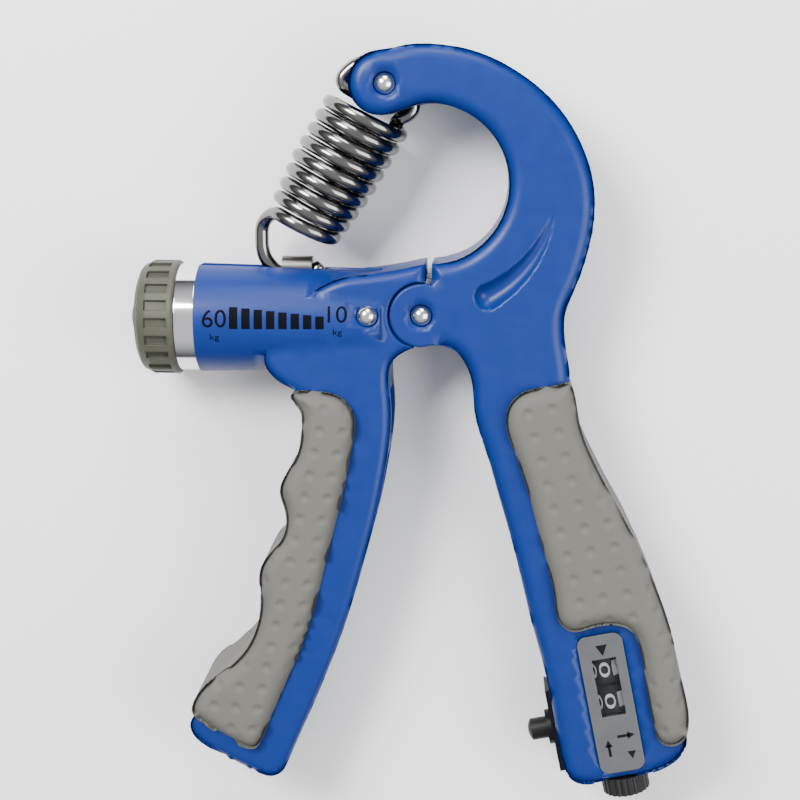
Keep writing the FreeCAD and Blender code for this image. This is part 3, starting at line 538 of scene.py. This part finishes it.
# ---------------------------------------------------------------- spring
WIRE = 1.43
COIL_C = at(-25.05, 17.16)
COIL_AXIS = Vector((0.511, 0.860, 0)).normalized()
COIL_SIDE = Vector((-0.860, 0.511, 0)).normalized()
PITCH = 3.12
COIL_NARROW, COIL_WIDE, WIDENING_TURNS = 6.65, 7.95, 4.0
FIRST_T, COIL_TURNS, SPLIT_TURNS, COIL_STEPS = 0.75, 8.5, 5.5, 330
HOOK_CENTRE, HOOK_RADIUS, HOOK_TIP, HOOK_TOP = (-26.4, 13.9), 7.0, 318.0, 180.0
LOOP_CENTRE, LOOP_RADIUS = (-9.9, 42.9), 8.0
CURL_CENTRE, CURL_RADIUS, CURL_AT, CURL_TO = (-4.65, 42.16), 2.7, -70.0, -8.0
CORNER_CENTRE, CORNER_RADIUS, CORNER_FROM, CORNER_TO = (-14.86, 46.94), 1.6, 140.8, 239.3
STRAND_START, STRAND_END = (-15.68, 45.56), (-8.7, 41.43)


def circle(centre, radius, degrees):
    a = math.radians(degrees)
    return at(centre[0] + radius * math.cos(a), centre[1] + radius * math.sin(a))


def coil_point(t):
    turns = t / (2 * math.pi)
    radius = COIL_NARROW + (COIL_WIDE - COIL_NARROW) * min(1.0, turns / WIDENING_TURNS)
    return (COIL_C + COIL_AXIS * (PITCH * turns)
            + (COIL_SIDE * math.cos(t) + Vector((0, 0, 1)) * math.sin(t)) * radius)


def coil_heading(t):
    return (coil_point(t + 0.01) - coil_point(t - 0.01)).normalized()


def bezier(p0, h0, p1, h1, reach, count):
    a, b = p0 + h0 * reach, p1 - h1 * reach
    result = []
    for i in range(1, count):
        s = i / count
        result.append(p0 * (1 - s) ** 3 + a * 3 * s * (1 - s) ** 2 + b * 3 * s * s * (1 - s) + p1 * s ** 3)
    return result


def arc(centre, radius, a0, a1, step):
    count = max(2, int(abs(a1 - a0) / step))
    return [circle(centre, radius, a0 + (a1 - a0) * i / count) for i in range(count + 1)]


COIL_START, COIL_END = FIRST_T, COIL_TURNS * 2 * math.pi
hook = arc(HOOK_CENTRE, HOOK_RADIUS, HOOK_TIP, HOOK_TOP, 8.0)
top_of_hook = at(-33.4, 16.2)
enter = bezier(top_of_hook, Vector((0, 1, 0)), coil_point(COIL_START), coil_heading(COIL_START),
               2.6, 10)
turns = [coil_point(COIL_START + (COIL_END - COIL_START) * i / COIL_STEPS) for i in range(COIL_STEPS + 1)]
curl = arc(CURL_CENTRE, CURL_RADIUS, CURL_AT, CURL_TO, 12.0)
# the curl is run through towards rising angles, so the wire arrives along that tangent
arrive = Vector((-math.sin(math.radians(CURL_AT)), math.cos(math.radians(CURL_AT)), 0))
leave = bezier(coil_point(COIL_END), coil_heading(COIL_END), curl[0], arrive, 4.2, 14)
top = arc(LOOP_CENTRE, LOOP_RADIUS, CURL_TO, CORNER_FROM, 7.0)
corner = arc(CORNER_CENTRE, CORNER_RADIUS, CORNER_FROM, CORNER_TO, 14.0)
strand = [at(*STRAND_START).lerp(at(*STRAND_END), i / 8) for i in range(1, 9)]
path = [hook, [top_of_hook], enter, turns, leave, curl, top[1:], corner[1:], strand]
joined = [point for part in path for point in part]


def sweep(name, points, first, last, sides=18):
    """A closed tube along the points first..last, its section carried without twist along the whole path."""
    tangents = [(points[min(i + 1, len(points) - 1)] - points[max(i - 1, 0)]).normalized()
                for i in range(len(points))]
    across = Vector((0, 0, 1))
    across = (across - tangents[0] * across.dot(tangents[0])).normalized()
    frames = []
    for tangent in tangents:
        across = (across - tangent * across.dot(tangent)).normalized()
        frames.append((across.copy(), tangent.cross(across)))
    bm = bmesh.new()
    rings = []
    stations = [(i, WIRE, 0.0) for i in range(first, last + 1)]
    # free ends are slightly rounded
    if first == 0:
        stations = [(0, WIRE * 0.72, -0.32)] + stations
    if last == len(points) - 1:
        stations = stations + [(last, WIRE * 0.72, 0.32)]
    for i, radius, shift in stations:
        u, v = frames[i]
        centre = points[i] + tangents[i] * shift
        rings.append([bm.verts.new((centre + (u * math.cos(2 * math.pi * k / sides)
                                              + v * math.sin(2 * math.pi * k / sides)) * radius) * MM)
                      for k in range(sides)])
    for a, b in zip(rings, rings[1:]):
        for k in range(sides):
            bm.faces.new((a[k], b[k], b[(k + 1) % sides], a[(k + 1) % sides]))
    bm.faces.new(list(rings[0]))
    bm.faces.new(list(reversed(rings[-1])))
    bmesh.ops.recalc_face_normals(bm, faces=bm.faces)
    return new_object(name, bm)


# the wire is cut a little after the coil begins, and again between its lower and upper turns
coil_index = len(hook) + 1 + len(enter)
split_low = coil_index + 14
first_turn = COIL_START / 2 / math.pi
split_high = coil_index + int((COIL_STEPS + 1) * (SPLIT_TURNS - first_turn) / (COIL_TURNS - first_turn))
hook_piece = sweep("spring_hook_wire", joined, 0, split_low)
low_piece = sweep("spring_lower_coils_wire", joined, split_low, split_high)
high_piece = sweep("spring_upper_coils_wire", joined, split_high, len(joined) - 1)
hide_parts("spring_hook_end", "spring_hook")
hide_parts("spring_coils_lower")
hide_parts("spring_coils_upper", "spring_loop")
for piece in (hook_piece, low_piece, high_piece):
    finish_piece(piece, SPRING, smooth=60.0)


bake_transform(hook_piece)
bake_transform(low_piece)
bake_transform(high_piece)


# ---------------------------------------------------------------- printed marks
def text_outline(text, height, width):
    """Flat triangles of a text, centred, of this height and width in millimetres."""
    curve = bpy.data.curves.new("text", "FONT")
    curve.body = text
    curve.resolution_u = 5
    holder = bpy.data.objects.new("text", curve)
    SCENE.collection.objects.link(holder)
    bpy.context.view_layer.update()
    data = bpy.data.meshes.new_from_object(holder.evaluated_get(bpy.context.evaluated_depsgraph_get()))
    bpy.data.objects.remove(holder)
    bpy.data.curves.remove(curve)
    bm = bmesh.new()
    bm.from_mesh(data)
    bpy.data.meshes.remove(data)
    bmesh.ops.remove_doubles(bm, verts=bm.verts, dist=1e-5)
    xs = [v.co.x for v in bm.verts]
    ys = [v.co.y for v in bm.verts]
    scale = height / (max(ys) - min(ys))
    wide = width / (max(xs) - min(xs))
    middle_x, middle_y = (max(xs) + min(xs)) / 2, (max(ys) + min(ys)) / 2
    for v in bm.verts:
        v.co = Vector(((v.co.x - middle_x) * wide, (v.co.y - middle_y) * scale, 0))
    return bm


def polygon(points):
    bm = bmesh.new()
    bm.faces.new([bm.verts.new((x, y, 0)) for x, y in points])
    return bm


def rectangle(width, height):
    return polygon([(-width / 2, -height / 2), (width / 2, -height / 2), (width / 2, height / 2),
                    (-width / 2, height / 2)])


def printed(name, shapes, onto, mat, body, thick=0.06, step=0.7):
    """One thin solid made of flat shapes, each placed by onto(shape x + its place, y + its place, lift)."""
    whole = bmesh.new()
    for bm, (px, py) in shapes:
        for _ in range(4):
            long = [e for e in bm.edges if e.calc_length() > step]
            if not long:
                break
            bmesh.ops.subdivide_edges(bm, edges=long, cuts=1, use_grid_fill=True)
        bmesh.ops.triangulate(bm, faces=bm.faces)
        low, high = {}, {}
        for v in bm.verts:
            low[v] = whole.verts.new(onto(v.co.x + px, v.co.y + py, -thick) * MM)
            high[v] = whole.verts.new(onto(v.co.x + px, v.co.y + py, 0.03) * MM)
        for f in bm.faces:
            if not whole.faces.get([high[v] for v in f.verts]):
                whole.faces.new([high[v] for v in f.verts])
                whole.faces.new([low[v] for v in reversed(f.verts)])
        for e in bm.edges:
            if len(e.link_faces) == 1:
                a, b = e.verts
                if not whole.faces.get((low[a], low[b], high[b], high[a])):
                    whole.faces.new((low[a], low[b], high[b], high[a]))
        bm.free()
    bmesh.ops.recalc_face_normals(whole, faces=whole.faces)
    obj = new_object(name, whole)
    return finish_piece(obj, mat, body, smooth=30.0)


BARREL_WIDE, BARREL_NARROW, BARREL_START, BARREL_LENGTH = 11.35, 10.3, -46.2, 38.0
BARS, BAR_WIDTH, BAR_PITCH, TALLEST_BAR, SHORTEST_BAR = 8, 1.7, 2.5, 4.4, 2.6


def onto_barrel(x, y, lift):
    """x and y from the hinge; the barrel is a slight cone."""
    radius = BARREL_WIDE + (BARREL_NARROW - BARREL_WIDE) * (x - BARREL_START) / BARREL_LENGTH + lift
    rise = y - BARREL_Y
    return at(x, y, math.sqrt(max(radius ** 2 - rise ** 2, 0.01)))


marks_shapes = [(text_outline("60", 3.6, 4.9), (-41.9, -0.6)), (text_outline("kg", 1.7, 1.9), (-41.9, -4.6)),
                (text_outline("10", 3.3, 3.9), (-16.9, 0.3)), (text_outline("kg", 1.6, 1.8), (-16.9, -3.5))]
for i in range(BARS):
    tall = TALLEST_BAR + (SHORTEST_BAR - TALLEST_BAR) * (i / (BARS - 1))
    marks_shapes.append((rectangle(BAR_WIDTH, tall), (-38.0 + BAR_PITCH * i, -2.7 + tall / 2)))
printed("barrel_scale", marks_shapes, onto_barrel, PRINT_DARK, "finger_handle")


LABEL_TOP, WHEEL_RADIUS, WHEEL_AXIS_Z = 9.8, 4.45, 3.6
FIGURE_HEIGHT, FIGURE_WIDTH, FIGURE_STEP = 2.2, 3.3, 10.0
ORIGIN = at(40.0, -81.4)
U = Vector((0.1994, -0.9799, 0)).normalized()
V = Vector((0.9799, 0.1994, 0)).normalized()


def onto_label(u, v, lift):
    return ORIGIN + U * u + V * v + Vector((0, 0, LABEL_TOP + lift))


def triangle(size, way):
    """An arrow-head whose point looks along +u (way 0), +v (90) or back."""
    a = math.radians(way)
    return polygon([(size * math.cos(a + k), size * math.sin(a + k)) for k in (0, 2.2, -2.2)])


label_marks = [
    (triangle(1.5, 0), (-12.1, 0.2)),
    (rectangle(2.6, 0.6), (10.2, -2.1)), (triangle(1.0, 180), (8.8, -2.1)),
    (rectangle(0.6, 2.6), (7.4, 1.3)), (triangle(1.0, 90), (7.4, 2.7)),
    (triangle(1.1, 0), (11.6, 2.4)),
]
printed("counter_label_marks", label_marks, onto_label, PRINT_LABEL, "palm_handle", thick=0.04)


def wheel_digits(name, u_centre, body):
    """The ten figures round one wheel; the nought faces the window at rest."""
    shapes = [(text_outline(str(digit), FIGURE_HEIGHT, FIGURE_WIDTH), (0.0, FIGURE_STEP * digit))
              for digit in range(10)]

    def onto(x, y, lift):
        # the shape's place carries the digit's number, its own height stays under half a step
        digit = round(y / FIGURE_STEP)
        angle = digit * math.radians(36.0) + (y - FIGURE_STEP * digit) / WHEEL_RADIUS
        radius = WHEEL_RADIUS + lift
        return (ORIGIN + U * (u_centre - x) + V * (radius * math.sin(angle))
                + Vector((0, 0, WHEEL_AXIS_Z + radius * math.cos(angle))))

    return printed(name, shapes, onto, DIGIT, body, step=0.6)


wheel_digits("tens_digits", -7.0, "tens")
wheel_digits("units_digits", 0.0, "units")


# ---------------------------------------------------------------- camera, floor and light
camera_data = bpy.data.cameras.new("camera")
camera_data.lens = 72.857
camera_data.sensor_width = 36.0
camera_data.clip_start = 0.01
camera = bpy.data.objects.new("camera", camera_data)
SCENE.collection.objects.link(camera)
target = Vector((-2.547, 5.750, 12.0)) * MM
look = Vector((0.05154, 0.17365, 0.98346)).normalized()
forward = -look
right = forward.cross(Vector((0, 1, 0))).normalized()
up = right.cross(forward)
turn = Matrix((right, up, look)).transposed().to_4x4()
camera.matrix_world = Matrix.Translation(target + look * 0.340) @ turn
SCENE.camera = camera

floor_bm = bmesh.new()
bmesh.ops.create_grid(floor_bm, x_segments=2, y_segments=2, size=0.9)
floor = new_object("floor", floor_bm)
floor_mat = material("floor", (0.93, 0.93, 0.93), 0.6, bump=0.02, grain=80, edge=0.0, vary=0.01, scale=6)
floor.data.materials.append(floor_mat)


def area_light(name, place, aim, size, power):
    data = bpy.data.lights.new(name, "AREA")
    data.shape = "SQUARE"
    data.size = size
    data.energy = power
    obj = bpy.data.objects.new(name, data)
    SCENE.collection.objects.link(obj)
    obj.location = place
    obj.rotation_euler = (Vector(aim) - Vector(place)).to_track_quat("-Z", "Y").to_euler()


area_light("key", (-0.30, 0.32, 0.50), (0, 0, 0), 0.26, 8.0)
area_light("fill", (0.40, -0.05, 0.42), (0, 0, 0), 0.40, 3.4)
area_light("rim", (0.05, 0.55, 0.30), (0, 0, 0.01), 0.28, 2.6)
world = bpy.data.worlds.new("world")
world.use_nodes = True
back = world.node_tree.nodes["Background"]
back.inputs["Strength"].default_value = 0.8
# the sky is bright overhead and darker towards the horizon, which gives the chrome its dark bands
where = world.node_tree.nodes.new("ShaderNodeTexCoord")
split = world.node_tree.nodes.new("ShaderNodeSeparateXYZ")
ramp = world.node_tree.nodes.new("ShaderNodeValToRGB")
ramp.color_ramp.elements[0].position = 0.05
ramp.color_ramp.elements[0].color = (0.10, 0.10, 0.11, 1)
ramp.color_ramp.elements[1].position = 0.75
ramp.color_ramp.elements[1].color = (0.95, 0.96, 0.98, 1)
world.node_tree.links.new(where.outputs["Generated"], split.inputs["Vector"])
world.node_tree.links.new(split.outputs["Z"], ramp.inputs["Fac"])
world.node_tree.links.new(ramp.outputs["Color"], back.inputs["Color"])
SCENE.world = world
